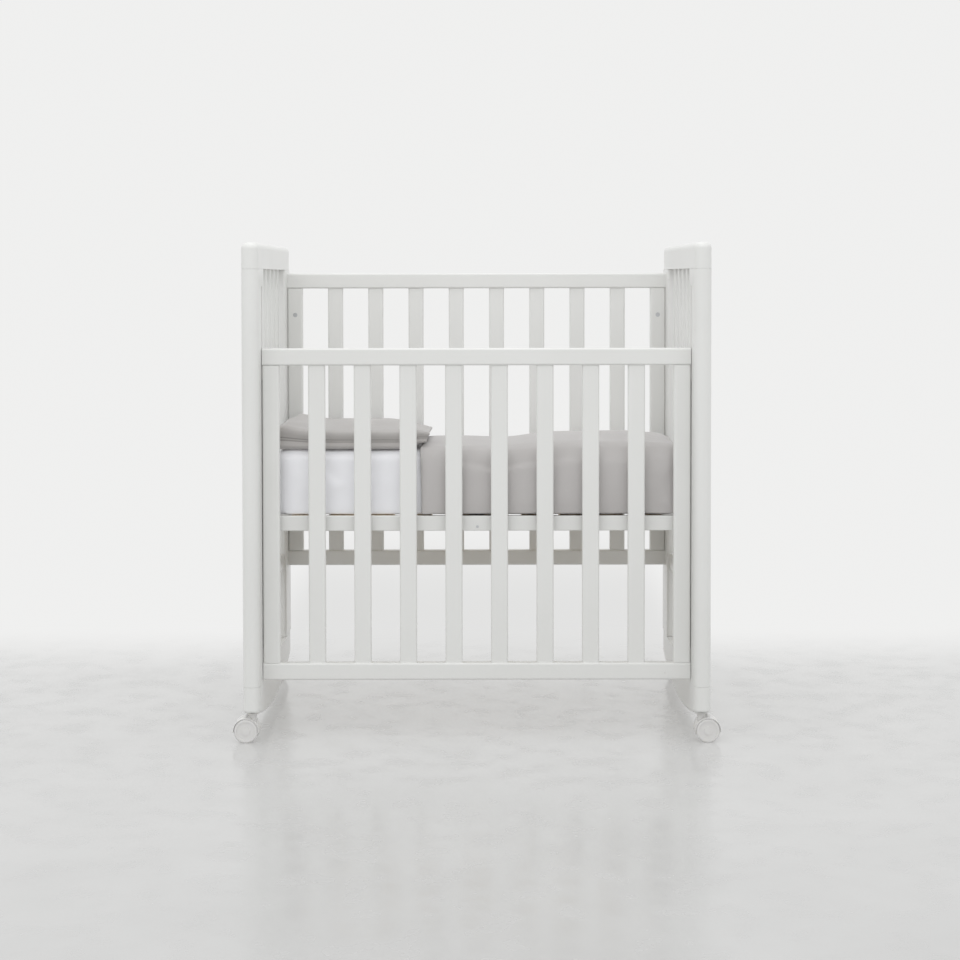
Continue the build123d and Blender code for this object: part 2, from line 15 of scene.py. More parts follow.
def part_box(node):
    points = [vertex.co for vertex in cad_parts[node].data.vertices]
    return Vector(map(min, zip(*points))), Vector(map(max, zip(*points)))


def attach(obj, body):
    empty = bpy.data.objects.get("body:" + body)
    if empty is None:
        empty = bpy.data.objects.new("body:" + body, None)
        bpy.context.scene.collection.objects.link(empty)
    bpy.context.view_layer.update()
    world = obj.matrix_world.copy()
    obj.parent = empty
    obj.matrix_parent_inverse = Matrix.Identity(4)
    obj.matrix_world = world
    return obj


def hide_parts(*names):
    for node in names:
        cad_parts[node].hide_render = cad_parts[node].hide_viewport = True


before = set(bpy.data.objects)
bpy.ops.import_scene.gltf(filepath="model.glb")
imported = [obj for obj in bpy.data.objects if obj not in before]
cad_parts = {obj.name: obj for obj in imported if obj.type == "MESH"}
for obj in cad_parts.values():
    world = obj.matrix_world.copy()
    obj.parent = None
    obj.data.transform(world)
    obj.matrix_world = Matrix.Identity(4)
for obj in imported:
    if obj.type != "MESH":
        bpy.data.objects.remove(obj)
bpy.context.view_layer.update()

# %% [markdown]
# ## Hand tools
#
# An operator works on whatever is selected, so each step starts by picking one piece and nothing else.
# Edges and faces are picked by where they are, which is how a person would click them.

# %% Pick a piece, and pick parts of it by place


def pick(piece):
    """Leaves one piece selected and active, in object mode."""
    if bpy.context.mode != "OBJECT":
        bpy.ops.object.mode_set(mode="OBJECT")
    bpy.ops.object.select_all(action="DESELECT")
    piece.select_set(True)
    bpy.context.view_layer.objects.active = piece
    return piece


def choose(piece, kind, test):
    """Opens edit mode with the faces or edges selected whose middle and direction pass the test."""
    pick(piece)
    bpy.ops.object.mode_set(mode="EDIT")
    bpy.ops.mesh.select_mode(type=kind)
    bpy.ops.mesh.select_all(action="DESELECT")
    bpy.ops.object.mode_set(mode="OBJECT")
    mesh = piece.data
    if kind == "FACE":
        for face in mesh.polygons:
            face.select = bool(test(face.center, face.normal))
    else:
        for edge in mesh.edges:
            a, b = (mesh.vertices[i].co for i in edge.vertices)
            edge.select = bool(test((a + b) / 2, (b - a).normalized()))
    bpy.ops.object.mode_set(mode="EDIT")


def place(piece, name):
    """Names a piece and writes its place, turn and size into its mesh."""
    piece.name = piece.data.name = name
    pick(piece)
    bpy.ops.object.transform_apply(location=True, rotation=True, scale=True)
    return piece


def finish_with(piece, kind, **settings):
    """Adds a modifier, sets it and applies it."""
    pick(piece)
    tool = piece.modifiers.new(kind.title(), kind)
    for key, value in settings.items():
        setattr(tool, key, value)
    bpy.ops.object.modifier_apply(modifier=tool.name)


# %% [markdown]
# ## The studio
#
# The photograph was taken with a long lens from about four metres, a little above the middle of the crib.
# Its upright edges run almost parallel, so the camera barely tilts and the lens is shifted down instead.

# %% Camera
PITCH, ROLL = 0.03, 0.0014
lens_data = bpy.data.cameras.new("studio_camera")
lens_data.sensor_width = 36
lens_data.lens = 72.13
lens_data.shift_x = 0.0038
lens_data.shift_y = -0.1507
lens_data.clip_end = 60
camera = bpy.data.objects.new("studio_camera", lens_data)
camera.location = (0, -4.0767, 0.9171)
camera.rotation_euler = (math.radians(90) - PITCH, ROLL, 0)
bpy.context.scene.collection.objects.link(camera)
bpy.context.scene.camera = camera
bpy.context.scene.view_settings.view_transform = "Standard"

# %% [markdown]
# Node trees are easier to read when each node is one line, so a small helper adds a node, sets its values
# and joins its inputs.

# %% Build node trees


def add_node(tree, kind, inputs=None, **settings):
    """Adds one node. inputs maps a socket's name or number to a value or to another node's output."""
    node = tree.nodes.new(kind)
    for key, value in settings.items():
        setattr(node, key, value)
    for key, value in (inputs or {}).items():
        if isinstance(value, bpy.types.NodeSocket):
            tree.links.new(value, node.inputs[key])
        else:
            node.inputs[key].default_value = value
    return node


def sums(tree, operation, a, b=0.0, c=None, clamp=False):
    """One Math node. Returns its output."""
    values = {0: a, 1: b} if c is None else {0: a, 1: b, 2: c}
    return add_node(tree, "ShaderNodeMath", values, operation=operation, use_clamp=clamp).outputs[0]


def ramp(tree, value, low, high, from_value=0.0, to_value=1.0):
    """A smooth step from one value to another as the input goes from low to high."""
    return add_node(tree, "ShaderNodeMapRange",
                    {"Value": value, "From Min": low, "From Max": high,
                     "To Min": from_value, "To Max": to_value},
                    interpolation_type="SMOOTHSTEP").outputs["Result"]


def mixed(tree, factor, a, b, how="MIX"):
    """Two colours mixed. Returns the result."""
    node = add_node(tree, "ShaderNodeMix", data_type="RGBA", blend_type=how)
    for socket, value in ((node.inputs[0], factor), (node.inputs[6], a), (node.inputs[7], b)):
        if isinstance(value, bpy.types.NodeSocket):
            tree.links.new(value, socket)
        else:
            socket.default_value = value
    return node.outputs[2]


# %% [markdown]
# The floor is a pale glossy sheet. It also glows a little: painted light that brightens it evenly, in the
# crib's shadow too, and throws a little light up onto the crib. Behind the crib it runs up into a white
# backdrop with no line between them, so past the crib its colour fades into the backdrop's. Only the camera
# and reflections see that colour; the rest of the light on the crib comes from the lamps and the sky. Right
# behind the crib the backdrop is a little darker, a painted shadow of the crib.

# %% Floor and backdrop
BACKDROP = (0.868, 0.868, 0.862, 1)
FLOOR_DARK, FLOOR_PALE = (0.30, 0.30, 0.295, 1), (0.325, 0.325, 0.32, 1)
# Painted light: the floor glows with this strength, for every ray.
PAINTED_FLOOR_GLOW = 0.235
FADE_FROM, FADE_TO = 0.3, 0.95
bpy.ops.mesh.primitive_plane_add(size=1, location=(0, 12, 0))
floor = place(bpy.context.object, "studio_floor")
choose(floor, "FACE", lambda middle, normal: True)
bpy.ops.transform.resize(value=(40, 36, 1), center_override=(0, 12, 0))
bpy.ops.object.mode_set(mode="OBJECT")

floor_look = bpy.data.materials.new("pale_floor")
floor_look.use_nodes = True
tree = floor_look.node_tree
tree.nodes.clear()
spot = add_node(tree, "ShaderNodeTexCoord").outputs["Object"]
along = add_node(tree, "ShaderNodeSeparateXYZ", {0: spot}).outputs["Y"]
blotches = add_node(tree, "ShaderNodeTexNoise",
                    {"Vector": spot, "Scale": 3.2, "Detail": 5.0, "Roughness": 0.6})
streaks = add_node(tree, "ShaderNodeTexNoise", {"Vector": spot, "Scale": 14.0, "Detail": 3.0})
tone = mixed(tree, ramp(tree, blotches.outputs[0], 0.3, 0.7), FLOOR_DARK, FLOOR_PALE)
gloss = ramp(tree, streaks.outputs[0], 0.35, 0.7, 0.16, 0.3)
sheet_floor = add_node(tree, "ShaderNodeBsdfPrincipled",
                       {"Base Color": tone, "Roughness": gloss, "IOR": 1.4,
                        "Emission Color": (1, 0.995, 0.985, 1), "Emission Strength": PAINTED_FLOOR_GLOW})
# Painted shadow of the crib on the backdrop, just behind it.
aside = sums(tree, "ABSOLUTE", add_node(tree, "ShaderNodeSeparateXYZ", {0: spot}).outputs["X"])
shade = sums(tree, "MULTIPLY", ramp(tree, aside, 0.62, 0.45), ramp(tree, along, 3.2, 1.2))
veiled = mixed(tree, sums(tree, "MULTIPLY", shade, 0.12), BACKDROP, (0, 0, 0, 1))
bare = add_node(tree, "ShaderNodeEmission", {"Color": veiled, "Strength": 1.0})
rays = add_node(tree, "ShaderNodeLightPath")
seen = sums(tree, "MAXIMUM", rays.outputs["Is Camera Ray"], rays.outputs["Is Glossy Ray"])
fade = sums(tree, "MULTIPLY", ramp(tree, along, FADE_FROM, FADE_TO), seen)
blend = add_node(tree, "ShaderNodeMixShader", {0: fade, 1: sheet_floor.outputs[0], 2: bare.outputs[0]})
add_node(tree, "ShaderNodeOutputMaterial", {"Surface": blend.outputs[0]})
floor.data.materials.append(floor_look)

# %% [markdown]
# The light is plain and soft: an even sky, and a wide panel above and in front, which makes the caps
# brighter than the bases, as on the real crib. A small panel right overhead gives the shadow under the crib
# its front edge.

# %% Lamps and sky
SKY = 1.03


def panel(name, location, target, size, power):
    """A rectangular soft light that points at a spot."""
    data = bpy.data.lights.new(name, "AREA")
    data.shape, data.size, data.size_y = "RECTANGLE", size[0], size[1]
    data.energy = power
    lamp = bpy.data.objects.new(name, data)
    lamp.location = location
    lamp.rotation_euler = (Vector(target) - Vector(location)).to_track_quat("-Z", "Y").to_euler()
    bpy.context.scene.collection.objects.link(lamp)


panel("front_panel", (-0.5, -2.6, 3.0), (0, 0, 0.7), (3.0, 1.6), 16)
panel("overhead_panel", (0, -0.35, 3.3), (0, -0.1, 0), (1.3, 0.9), 7)

sky = bpy.data.worlds.new("studio_sky")
sky.use_nodes = True
bpy.context.scene.world = sky
tree = sky.node_tree
tree.nodes.clear()
rays = add_node(tree, "ShaderNodeLightPath")
seen = sums(tree, "MAXIMUM", rays.outputs["Is Camera Ray"], rays.outputs["Is Glossy Ray"])
seen = sums(tree, "MAXIMUM", seen, rays.outputs["Is Transmission Ray"])
glow = add_node(tree, "ShaderNodeBackground", {"Color": (0.98, 0.99, 1, 1), "Strength": SKY})
white = add_node(tree, "ShaderNodeBackground", {"Color": BACKDROP, "Strength": 1.0})
both = add_node(tree, "ShaderNodeMixShader", {0: seen, 1: glow.outputs[0], 2: white.outputs[0]})
add_node(tree, "ShaderNodeOutputWorld", {"Surface": both.outputs[0]})

# %% [markdown]
# ## Effects that several finishes share
#
# Each effect is a node group with named inputs and outputs, made once. The materials place it with their
# own values. A group gives only colours, values and heights: the shader itself stays in the material.

# %% A helper that makes a node group


def new_group(name, inputs, outputs):
    """An empty node group with its sockets. Returns the tree, its inputs and its output node."""
    group = bpy.data.node_groups.new(name, "ShaderNodeTree")
    for label, kind, value in inputs:
        socket = group.interface.new_socket(label, in_out="INPUT", socket_type="NodeSocket" + kind)
        if kind != "Vector":
            socket.default_value = value
    for label, kind in outputs:
        group.interface.new_socket(label, in_out="OUTPUT", socket_type="NodeSocket" + kind)
    return group, group.nodes.new("NodeGroupInput").outputs, group.nodes.new("NodeGroupOutput").inputs


# %% [markdown]
# Sprayed lacquer on wood isn't a mirror. It has a fine orange-peel skin, the grain lifts it a little in
# long lines, and its tone drifts by a percent or two over a board.

# %% Group: sprayed film over grain
film, film_in, film_out = new_group(
    "sprayed_film",
    [("Vector", "Vector", None), ("Colour", "Color", (0.8, 0.8, 0.8, 1)), ("Drift", "Float", 0.03),
     ("Grain", "Float", 0.5), ("Roughness", "Float", 0.35)],
    [("Colour", "Color"), ("Roughness", "Float"), ("Height", "Float")])
cloudy = add_node(film, "ShaderNodeTexNoise", {"Vector": film_in["Vector"], "Scale": 2.5, "Detail": 3.0})
darker = mixed(film, film_in["Drift"], film_in["Colour"], (0.45, 0.43, 0.38, 1), "MULTIPLY")
patches = ramp(film, cloudy.outputs[0], 0.35, 0.65)
film.links.new(mixed(film, patches, film_in["Colour"], darker), film_out["Colour"])
peel = add_node(film, "ShaderNodeTexNoise", {"Vector": film_in["Vector"], "Scale": 420.0, "Detail": 1.0})
long_way = add_node(film, "ShaderNodeMapping", {"Vector": film_in["Vector"], "Scale": (1, 1, 0.05)})
lines = add_node(film, "ShaderNodeTexNoise", {"Vector": long_way.outputs[0], "Scale": 190.0, "Detail": 4.0,
                                              "Roughness": 0.65})
lifted = sums(film, "MULTIPLY", lines.outputs[0], film_in["Grain"])
film.links.new(sums(film, "MULTIPLY_ADD", peel.outputs[0], 0.5, lifted), film_out["Height"])
rougher = sums(film, "MULTIPLY_ADD", cloudy.outputs[0], 0.12, film_in["Roughness"])
film.links.new(rougher, film_out["Roughness"])

# %% [markdown]
# Cloth is a plain weave: threads over and under each other by turns, each a little thicker or thinner than
# the next. The colour deepens a little at random, in slubs and in washed patches. The same group serves the
# sheet, the quilt and the pillow, with their own thread size and slub.

# %% Group: plain weave
weave, weave_in, weave_out = new_group(
    "plain_weave",
    [("Vector", "Vector", None), ("Colour", "Color", (0.5, 0.5, 0.5, 1)), ("Threads", "Float", 2200.0),
     ("Slub", "Float", 0.06), ("Wash", "Float", 0.06)],
    [("Colour", "Color"), ("Height", "Float"), ("Roughness", "Float")])
xyz = add_node(weave, "ShaderNodeSeparateXYZ", {0: weave_in["Vector"]})
waves = []
for axis in "XYZ":
    turns = sums(weave, "MULTIPLY", xyz.outputs[axis], weave_in["Threads"])
    waves.append(sums(weave, "SINE", turns))
over = sums(weave, "MULTIPLY", sums(weave, "MULTIPLY", waves[0], 0.5), waves[1])
under = sums(weave, "MULTIPLY", sums(weave, "ADD", waves[0], waves[1]),
             sums(weave, "MULTIPLY", waves[2], 0.25))
cloth_height = sums(weave, "ADD", sums(weave, "ADD", over, under), 0.5)
slubs = add_node(weave, "ShaderNodeTexNoise", {"Vector": weave_in["Vector"], "Scale": 260.0, "Detail": 2.0})
faded = add_node(weave, "ShaderNodeTexNoise", {"Vector": weave_in["Vector"], "Scale": 7.0, "Detail": 4.0})
deep = mixed(weave, 1.0, weave_in["Colour"], (0.82, 0.81, 0.8, 1), "MULTIPLY")
slubby = sums(weave, "MULTIPLY", slubs.outputs[0], weave_in["Slub"])
in_weave = mixed(weave, slubby, weave_in["Colour"], deep)
washed = sums(weave, "MULTIPLY", ramp(weave, faded.outputs[0], 0.3, 0.7), weave_in["Wash"])
weave.links.new(mixed(weave, washed, in_weave, deep), weave_out["Colour"])
weave.links.new(sums(weave, "MULTIPLY_ADD", slubs.outputs[0], 0.6, cloth_height), weave_out["Height"])
weave.links.new(ramp(weave, faded.outputs[0], 0.2, 0.8, 0.82, 0.95), weave_out["Roughness"])

# %% [markdown]
# A seam is a narrow groove. It shows as a thin darker line of painted shade wherever a coordinate of the
# cloth passes the seam's place.

# %% Group: seam line
seam_line, line_in, line_out = new_group(
    "seam_line", [("Along", "Float", 0.0), ("Place", "Float", 0.0), ("Width", "Float", 0.0016)],
    [("Mask", "Float")])
apart = sums(seam_line, "ABSOLUTE", sums(seam_line, "SUBTRACT", line_in["Along"], line_in["Place"]))
near_width = sums(seam_line, "MULTIPLY", line_in["Width"], 0.4)
seam_mask = add_node(seam_line, "ShaderNodeMapRange",
                     {"Value": apart, "From Min": near_width, "From Max": line_in["Width"],
                      "To Min": 1.0, "To Max": 0.0}, interpolation_type="SMOOTHSTEP")
seam_line.links.new(seam_mask.outputs["Result"], line_out["Mask"])

# %% [markdown]
# Planed pine shows wide growth rings cut at a slant. A wave texture bent by noise gives them, and a second,
# much finer noise stretched along the board gives the fibres.

# %% Group: pine grain
pine, pine_in, pine_out = new_group(
    "pine_grain",
    [("Vector", "Vector", None), ("Early", "Color", (0.8, 0.66, 0.45, 1)),
     ("Late", "Color", (0.6, 0.4, 0.2, 1))],
    [("Colour", "Color"), ("Height", "Float"), ("Roughness", "Float")])
laid = add_node(pine, "ShaderNodeMapping", {"Vector": pine_in["Vector"], "Scale": (1, 0.07, 1)})
bent = add_node(pine, "ShaderNodeTexNoise", {"Vector": laid.outputs[0], "Scale": 6.0, "Detail": 3.0})
moved = add_node(pine, "ShaderNodeVectorMath", {0: laid.outputs[0], 1: bent.outputs["Color"]},
                 operation="ADD")
rings = add_node(pine, "ShaderNodeTexWave", {"Vector": moved.outputs[0], "Scale": 9.0, "Distortion": 2.0,
                                             "Detail": 2.0}, bands_direction="X")
fibres = add_node(pine, "ShaderNodeTexNoise", {"Vector": laid.outputs[0], "Scale": 600.0, "Detail": 2.0})
late = sums(pine, "MULTIPLY", ramp(pine, rings.outputs["Fac"], 0.45, 0.95), 0.55)
pine.links.new(mixed(pine, late, pine_in["Early"], pine_in["Late"]), pine_out["Colour"])
pine.links.new(sums(pine, "MULTIPLY_ADD", fibres.outputs[0], 0.5, late), pine_out["Height"])
pine.links.new(ramp(pine, fibres.outputs[0], 0.3, 0.7, 0.5, 0.65), pine_out["Roughness"])

# %% [markdown]
# ## The finishes
#
# Each material starts the same way: Object coordinates into a group, and the group's outputs into one
# Principled shader and a Bump node.

# %% A helper that makes a material from a group
# The colour of the painted shade in each seam's groove.
SEAM_GROOVE_SHADE = (0.12, 0.11, 0.1, 1)


def make_look(name, group, group_values, shader_values, bump, depth=0.001, seam=None):
    """One material. The group's Colour, Roughness and Height feed the shader. A seam is an attribute of the
    cloth with an axis and the seam's places along it."""
    look = bpy.data.materials.new(name)
    look.use_nodes = True
    tree = look.node_tree
    tree.nodes.clear()
    vector = add_node(tree, "ShaderNodeTexCoord").outputs["Object"]
    effect = tree.nodes.new("ShaderNodeGroup")
    effect.node_tree = group
    tree.links.new(vector, effect.inputs["Vector"])
    for key, value in group_values.items():
        effect.inputs[key].default_value = value
    colour, height = effect.outputs["Colour"], effect.outputs["Height"]
    if seam:
        attribute, axis, places = seam
        spot = add_node(tree, "ShaderNodeAttribute", attribute_name=attribute).outputs["Vector"]
        along = add_node(tree, "ShaderNodeSeparateXYZ", {0: spot}).outputs[axis]
        for middle in places:
            line = tree.nodes.new("ShaderNodeGroup")
            line.node_tree = seam_line
            tree.links.new(along, line.inputs["Along"])
            line.inputs["Place"].default_value = middle
            # Painted shade: the cloth is darkened along each seam, whose groove the bump also cuts in.
            share = sums(tree, "MULTIPLY", line.outputs["Mask"], 0.42)
            colour = mixed(tree, share, colour, SEAM_GROOVE_SHADE)
            height = sums(tree, "MULTIPLY_ADD", line.outputs["Mask"], -3.0, height)
    lumps = add_node(tree, "ShaderNodeBump", {"Height": height, "Strength": bump, "Distance": depth})
    shader = add_node(tree, "ShaderNodeBsdfPrincipled",
                      {"Base Color": colour, "Roughness": effect.outputs["Roughness"],
                       "Normal": lumps.outputs[0], **shader_values})
    add_node(tree, "ShaderNodeOutputMaterial", {"Surface": shader.outputs[0]})
    return look


# %% Lacquer, plastic, powder coat, zinc and pine
lacquer = make_look("white_lacquer", film,
                    {"Colour": (0.785, 0.785, 0.765, 1), "Drift": 0.05, "Grain": 0.5, "Roughness": 0.3},
                    {"Coat Weight": 0.25, "Coat Roughness": 0.2}, 0.25, 0.0004)
plastic = make_look("white_plastic", film,
                    {"Colour": (0.74, 0.73, 0.715, 1), "Drift": 0.03, "Grain": 0.05, "Roughness": 0.36},
                    {"Subsurface Weight": 0.05, "Subsurface Radius": (0.004, 0.004, 0.003)}, 0.2, 0.0002)
powder = make_look("white_steel", film,
                   {"Colour": (0.74, 0.74, 0.73, 1), "Drift": 0.04, "Grain": 0.0, "Roughness": 0.45},
                   {}, 0.5, 0.0004)
zinc = make_look("zinc_steel", film,
                 {"Colour": (0.62, 0.63, 0.65, 1), "Drift": 0.35, "Grain": 0.3, "Roughness": 0.27},
                 {"Metallic": 1.0}, 0.3, 0.0002)
bare_pine = make_look("bare_pine", pine,
                      {"Early": (0.74, 0.6, 0.4, 1), "Late": (0.52, 0.34, 0.18, 1)}, {}, 0.3, 0.0005)

# %% Cloth
HEM_STITCH = 0.027  # from the quilt's front edge
PILLOW_SEAMS = (0.5865, 0.5905)  # heights of the two lines round the pillow
linen = make_look("white_sheet", weave,
                  {"Colour": (0.93, 0.93, 0.955, 1), "Threads": 2600.0, "Slub": 0.1, "Wash": 0.12},
                  {"Sheen Weight": 0.15, "Sheen Roughness": 0.4}, 0.15, 0.0003)
grey_quilt = make_look("grey_quilt", weave,
                       {"Colour": (0.54, 0.52, 0.51, 1), "Threads": 2200.0, "Slub": 0.2, "Wash": 0.25},
                       {"Sheen Weight": 0.25, "Sheen Roughness": 0.45}, 0.2, 0.0003,
                       ("flat", "Y", (HEM_STITCH,)))
grey_pillow = make_look("grey_pillow", weave,
                        {"Colour": (0.49, 0.47, 0.455, 1), "Threads": 2200.0, "Slub": 0.2, "Wash": 0.25},
                        {"Sheen Weight": 0.25, "Sheen Roughness": 0.45}, 0.2, 0.0003,
                        ("made", "Z", PILLOW_SEAMS))

# %% [markdown]
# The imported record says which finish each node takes, so the CAD nodes get their materials from it. Their
# meshes stay as they are.

# %% Give every node its finish
looks = {"white_lacquer": lacquer, "bare_pine": bare_pine, "white_plastic": plastic, "zinc_steel": zinc,
         "white_steel": powder, "white_sheet": linen, "grey_quilt": grey_quilt, "grey_pillow": grey_pillow}
for name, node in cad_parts.items():
    for holder in node.material_slots:
        old = holder.material.name.split(".")[0] if holder.material else ""
        if old in looks:
            holder.material = looks[old]
        else:
            print("no look for", name, old)

# %% [markdown]
# ## Bedding
#
# Soft goods are blown up a little by Blender's cloth, which gives edges that round over and a skin that is
# never quite flat. No point may move further than a cap, so nothing leaves its place in the crib.

# %% Fill a closed skin


def fill_out(piece, pressure, cap, frames=20):
    """Puffs a closed mesh with cloth pressure and holds every point within the cap."""
    pick(piece)
    before = [v.co.copy() for v in piece.data.vertices]
    cloth = piece.modifiers.new("Cloth", "CLOTH")
    cloth.settings.use_pressure = True
    cloth.settings.uniform_pressure_force = pressure
    cloth.settings.effector_weights.gravity = 0
    cloth.point_cache.frame_end = frames
    for step in range(1, frames + 1):
        bpy.context.scene.frame_set(step)
    bpy.ops.object.modifier_apply(modifier=cloth.name)
    bpy.context.scene.frame_set(1)
    furthest = 0
    for v, old in zip(piece.data.vertices, before):
        move = v.co - old
        furthest = max(furthest, move.length)
        if move.length > cap:
            v.co = old + move * (cap / move.length)
    print(piece.name, "filled, furthest free move", round(furthest * 1000, 1), "mm, cap", cap * 1000)


def smooth_step(value, low, high):
    t = min(1.0, max(0.0, (value - low) / (high - low)))
    return t * t * (3 - 2 * t)


def hump(value, middle, width):
    """A soft bump of height 1 at the middle, gone at width on either side."""
    return 1 - smooth_step(abs(value - middle), 0, width)


# %% [markdown]
# ### Mattress in its fitted sheet
#
# The mattress is a foam block with soft edges, and its fitted sheet pulls tight over it. A cube is bevelled
# all round, remeshed, and filled out a little. The rear of the top sits lower than the front, as on the
# real one.

# %% Mattress cover
COVER_CORNER, COVER_TOP_EDGE, COVER_LOWER_EDGE = 0.03, 0.024, 0.004
low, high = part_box("mattress")
middle, size = (low + high) / 2, high - low
bpy.ops.mesh.primitive_cube_add(size=1, location=middle - Vector((0, 0, 0.001)),
                                scale=(size.x - 0.008, size.y - 0.006, size.z - 0.002))
cover = place(bpy.context.object, "mattress_cover")
choose(cover, "EDGE", lambda spot, way: abs(way.z) > 0.5)
bpy.ops.mesh.bevel(offset=COVER_CORNER, segments=5, affect="EDGES")
choose(cover, "EDGE", lambda spot, way: abs(way.z) < 0.5 and spot.z > middle.z)
bpy.ops.mesh.bevel(offset=COVER_TOP_EDGE, segments=5, affect="EDGES")
choose(cover, "EDGE", lambda spot, way: abs(way.z) < 0.5 and spot.z < low.z + 0.004)
bpy.ops.mesh.bevel(offset=COVER_LOWER_EDGE, segments=2, affect="EDGES")
bpy.ops.object.mode_set(mode="OBJECT")
finish_with(cover, "REMESH", mode="VOXEL", voxel_size=0.007)
fill_out(cover, 3.0, 0.003)
REAR_DROP = 0.017


def rear_slope(y):
    """How far the bedding lies below level, from the front to the rear."""
    return REAR_DROP * smooth_step(y, -0.02, 0.26)


for v in cover.data.vertices:
    share = (v.co.z - low.z) / size.z
    v.co.z -= rear_slope(v.co.y) * share
    pull = noise.noise((v.co.x * 9, v.co.y * 9, v.co.z * 4))
    v.co.y += 0.0016 * pull * (1 if v.co.y > 0 else -1) * smooth_step(abs(v.co.y - middle.y), 0.2, 0.24)
    v.co.z += 0.0012 * noise.noise((v.co.x * 14, v.co.y * 14, 3)) * smooth_step(share, 0.8, 1)
finish_with(cover, "SUBSURF", levels=1, render_levels=1)
pick(cover)
bpy.ops.object.shade_smooth()
cover.data.materials.append(linen)
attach(cover, "frame")
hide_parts("mattress")

# %% [markdown]
# ### Quilt
#
# The quilt goes over the mattress from the front hem, over the top and down the back, and its right end is
# tucked in at the foot. Its flat grid is laid along that path point by point, so it keeps its flat
# coordinates for the hem's stitch line, and then it gets its thickness.

# %% The quilt's path
QUILT_LEFT, QUILT_RIGHT = -0.1125, 0.4185
QUILT_FRONT, QUILT_REAR = -0.2335, 0.2665
QUILT_HEM, QUILT_TOP = 0.4405, 0.5755
CORNER = 0.030
FRONT_LIMIT = -0.2385  # the front side slides past just in front of this
SKIN = 0.02  # thickness where the quilt's weight is 1
drop = QUILT_TOP - QUILT_HEM - CORNER
arc = CORNER * math.pi / 2
across_top = QUILT_REAR - QUILT_FRONT - 2 * CORNER
quilt_length = 2 * drop + 2 * arc + across_top
quilt_width = QUILT_RIGHT - QUILT_LEFT - CORNER + arc
print("quilt, flat:", round(quilt_width, 3), "by", round(quilt_length, 3))


def along_path(v):
    """The point and outward direction in Y and Z at a distance v from the front hem."""
    if v < drop:
        return QUILT_FRONT, QUILT_HEM + v, -1.0, 0.0
    v -= drop
    if v < arc:
        turn = v / CORNER
        ny, nz = -math.cos(turn), math.sin(turn)
        return QUILT_FRONT + CORNER + CORNER * ny, QUILT_TOP - CORNER + CORNER * nz, ny, nz
    v -= arc
    if v < across_top:
        return QUILT_FRONT + CORNER + v, QUILT_TOP, 0.0, 1.0
    v -= across_top
    if v < arc:
        turn = v / CORNER
        ny, nz = math.sin(turn), math.cos(turn)
        return QUILT_REAR - CORNER + CORNER * ny, QUILT_TOP - CORNER + CORNER * nz, ny, nz
    v -= arc
    return QUILT_REAR, QUILT_TOP - CORNER - v, 1.0, 0.0


def loft(x, y):
    """How much thicker the filling makes the quilt at a place on its top."""
    swell = 0.0135 * smooth_step(x, 0.045, 0.17) * (1 - 0.35 * smooth_step(x, 0.3, 0.41))
    front_to_back = 0.55 + 0.45 * hump(y, 0.0, 0.2)
    return swell * front_to_back


def ripple(x, y, z):
    """Creases of the quilt's skin: long soft ones and a few short ones at the foot end."""
    slow = noise.noise((x * 6.5 + 2.1, y * 5.0 - 0.7, z * 6.0))
    folds = noise.noise((x * 16 + y * 9, y * 7 - x * 4, z * 13 + 5))
    foot = hump(x, 0.385, 0.11) * noise.noise((x * 40 + y * 30, y * 14, z * 45))
    return 0.0021 * slow + 0.0011 * folds + 0.0024 * foot


# %% Lay the grid along the path
bpy.ops.mesh.primitive_grid_add(x_subdivisions=92, y_subdivisions=126, size=1, location=(0, 0, 0))
quilt = place(bpy.context.object, "quilt_cover")
flat = quilt.data.attributes.new("flat", "FLOAT_VECTOR", "POINT")
thin = quilt.vertex_groups.new(name="thickness")
for i, v in enumerate(quilt.data.vertices):
    u, w = (v.co.x + 0.5) * quilt_width, (v.co.y + 0.5) * quilt_length
    flat.data[i].vector = (u, w, 0)
    x = QUILT_LEFT + u
    inward = 0.0
    past = x - (QUILT_RIGHT - CORNER)
    if past > 0:
        turn = past / CORNER
        x = QUILT_RIGHT - CORNER + CORNER * math.sin(turn)
        inward = CORNER * (1 - math.cos(turn)) * 0.97
    y, z, ny, nz = along_path(w)
    puff = loft(x, y) * max(0.0, nz) + 0.0015 * (abs(ny) > 0.5)
    wavy = ripple(x, y, z)
    hem = min(1.0, min(w, quilt_length - w) / 0.03)
    level = rear_slope(y) * smooth_step(z, QUILT_HEM, QUILT_TOP)
    out = min(0.0045, wavy) if ny < -0.5 else wavy
    x -= 0.003 * smooth_step(z, QUILT_HEM, QUILT_TOP) * (1 - smooth_step(u, 0, 0.06))
    v.co = (x, y + ny * (out - inward), z + nz * (puff + wavy - inward) - level)
    body = 0.0055 + 0.0075 * smooth_step(puff, 0.001, 0.008) * max(0.0, nz)
    thin.add([i], body / SKIN * (0.6 + 0.4 * hem), "REPLACE")
quilt.data.update()

# %% Give it its thickness and its filling
finish_with(quilt, "SOLIDIFY", thickness=SKIN, offset=-1, vertex_group="thickness", use_rim=True)
fill_out(quilt, 3.0, 0.0035)
for v in quilt.data.vertices:
    if v.co.y < FRONT_LIMIT:
        v.co.y = FRONT_LIMIT + (v.co.y - FRONT_LIMIT) * 0.1
finish_with(quilt, "SUBSURF", levels=1, render_levels=1)
lowest = min(v.co.z for v in quilt.data.vertices)
print("quilt points", len(quilt.data.vertices), "lowest", round(lowest, 4))
pick(quilt)
bpy.ops.object.shade_smooth()
quilt.data.materials.append(grey_quilt)
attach(quilt, "frame")
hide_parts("quilt")

# %% [markdown]
# ### Pillow
#
# A small flat pillow in a case. It starts as a bevelled block that the filling rounds. A seam runs round
# its side, its front right corner is drawn out into an ear, and its right end lies over the quilt's edge.
# Every point keeps the place it had before it was pulled into shape, so the seam's line stays on the side.

